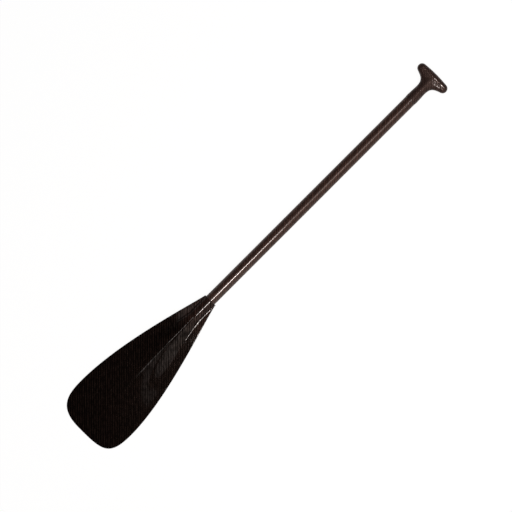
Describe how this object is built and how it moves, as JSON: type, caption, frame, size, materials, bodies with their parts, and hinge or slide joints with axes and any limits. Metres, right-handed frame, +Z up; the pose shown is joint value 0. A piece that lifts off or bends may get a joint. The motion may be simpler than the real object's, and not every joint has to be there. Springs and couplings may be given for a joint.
{
  "type": "canoe paddle",
  "caption": "Carbon canoe paddle with a round braided shaft, a spooned blade with a socket and spine on its back, and a T-grip.",
  "frame": {"origin": "on the floor, on the shaft's line, halfway along the paddle, with the paddle lying on its power face", "axes": "+X along the shaft towards the grip, +Y to the left with the grip up and the back in view, +Z up out of the blade's back"},
  "size_m": [1.3971, 0.2056, 0.0362],
  "materials": {
    "carbon_braid": "gloss",
    "carbon_twill": "gloss",
    "carbon_strip": "satin",
    "foam": "matte",
    "bonding_paste": "matte",
    "edge_resin": "satin",
    "moulded_plastic": "satin"
  },
  "bodies": {
    "root": {"shaft_tube": "carbon_braid", "shaft_end_plug": "foam", "blade_skin_back": "carbon_twill", "blade_skin_power": "carbon_twill", "blade_spar": "foam", "spine_cap_back": "carbon_strip", "spine_cap_power": "carbon_strip", "blade_core_left": "foam", "blade_core_right": "foam", "throat_filler_left": "bonding_paste", "throat_filler_right": "bonding_paste", "edge_band": "edge_resin", "grip_shell_back": "carbon_braid", "grip_shell_power": "carbon_braid", "grip_tenon": "moulded_plastic", "grip_core": "foam"}
  },
  "joints": []
}
